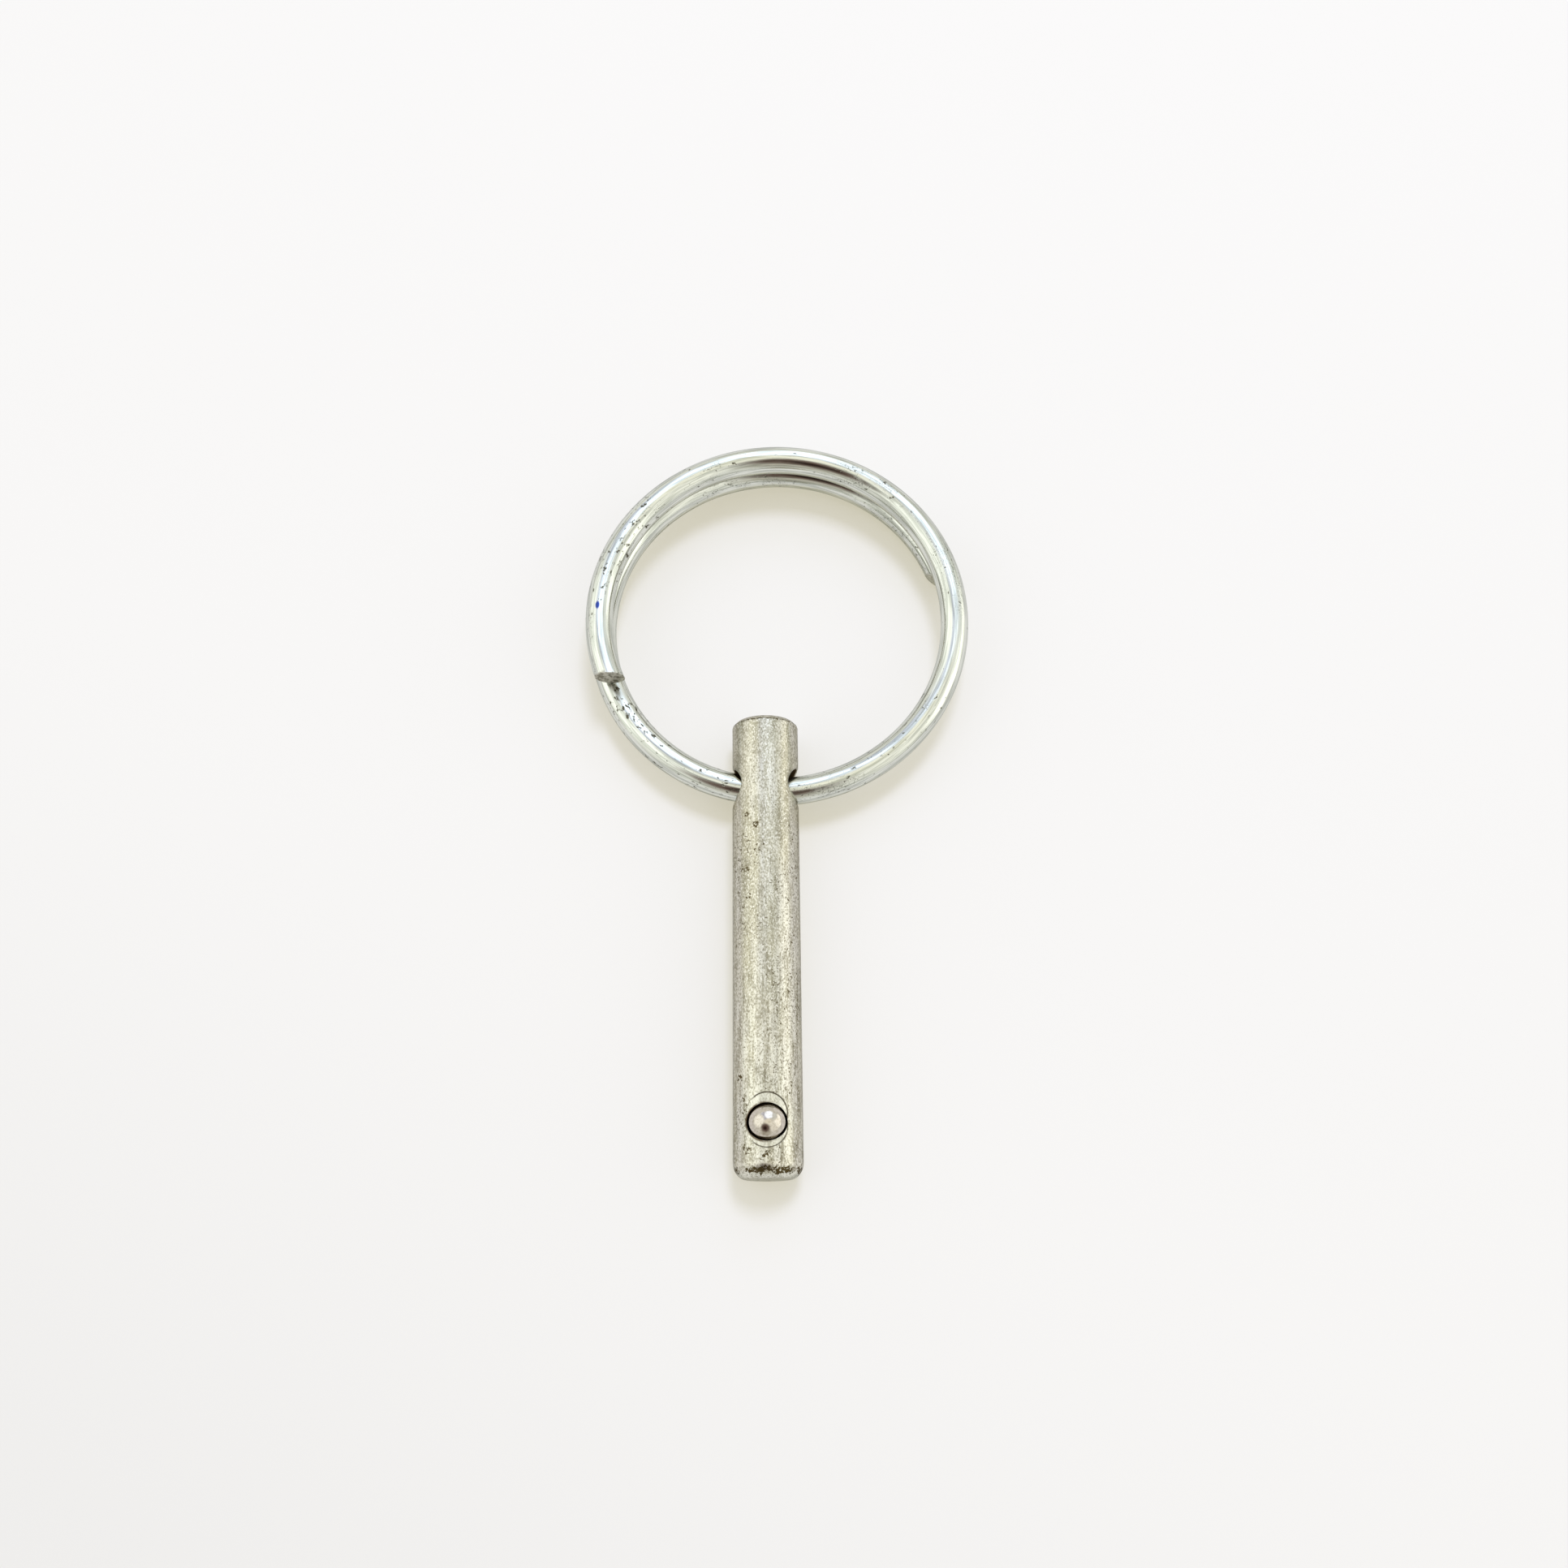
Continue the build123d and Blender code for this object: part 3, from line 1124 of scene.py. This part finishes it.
def make_studio_light():
    """A pale room: cream overhead, a cool window behind, a panel each side, and the dark
    patch where the camera is."""
    world = bpy.data.worlds.new("studio")
    bpy.context.scene.world = world
    world.use_nodes = True
    bench = Bench(world.node_tree)
    direction = bench.node("ShaderNodeTexCoord").outputs["Generated"]
    height = bench.parts(direction)["Z"]
    room = bench.blend(bench.between(height, 0.0, 0.7), room_low, room_high)
    above = bench.between(height, 0.0, 0.12)
    for azimuth, from_zenith, inner, outer, share, paint in room_patches:
        near = bench.facing(direction, towards(azimuth, from_zenith))
        patch = bench.between(near, cos(radians(outer)), cos(radians(inner)))
        room = bench.tint(room, paint, bench.times(patch, above), share)
    light = bench.node("ShaderNodeBackground", {"Color": room, "Strength": 1.0})
    bench.node("ShaderNodeOutputWorld", {"Surface": light.outputs[0]})


def make_window_light():
    """An area lamp behind the part, aimed at it. Metal shows the window's patch in its place."""
    place = towards(74, 26) * 0.8
    lamp = bpy.data.lights.new("window_light", "AREA")
    lamp.shape = "RECTANGLE"
    lamp.size, lamp.size_y = 0.2, 0.2
    lamp.energy = 3.5
    lamp.color = (0.94, 0.97, 1.0)
    stand = bpy.data.objects.new("window_light", lamp)
    bpy.context.scene.collection.objects.link(stand)
    stand.location = place
    stand.rotation_mode = "QUATERNION"
    stand.rotation_quaternion = (-place).to_track_quat("-Z", "Y")
    stand.visible_glossy = False


def make_camera():
    camera = bpy.data.objects.new("camera", bpy.data.cameras.new("camera"))
    bpy.context.scene.collection.objects.link(camera)
    axes = Matrix((camera_right, camera_up, camera_back)).transposed().to_4x4()
    camera.matrix_world = Matrix.Translation(Vector(camera_place) * mm) @ axes
    camera.data.lens = 36.056
    camera.data.sensor_width = 36
    camera.data.clip_start = 0.005
    camera.data.clip_end = 20
    bpy.context.scene.camera = camera


metal_grain = make_metal_grain()
grime = make_grime()
dress(make_shank(), shank_finish(), "pin", "shank_steel", "shank")
dress(make_ring(), ring_finish(), "ring", "ring_steel", "split_ring")
dress(make_ball(), ball_finish(), "ball", "ball_steel", "detent_ball")
spring = make_spring()
dress(spring, spring_finish(), "pin", "spring_steel", "detent_spring")
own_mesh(spring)

make_floor()
make_studio_light()
make_window_light()
make_camera()
bpy.context.scene.view_settings.view_transform = "Standard"
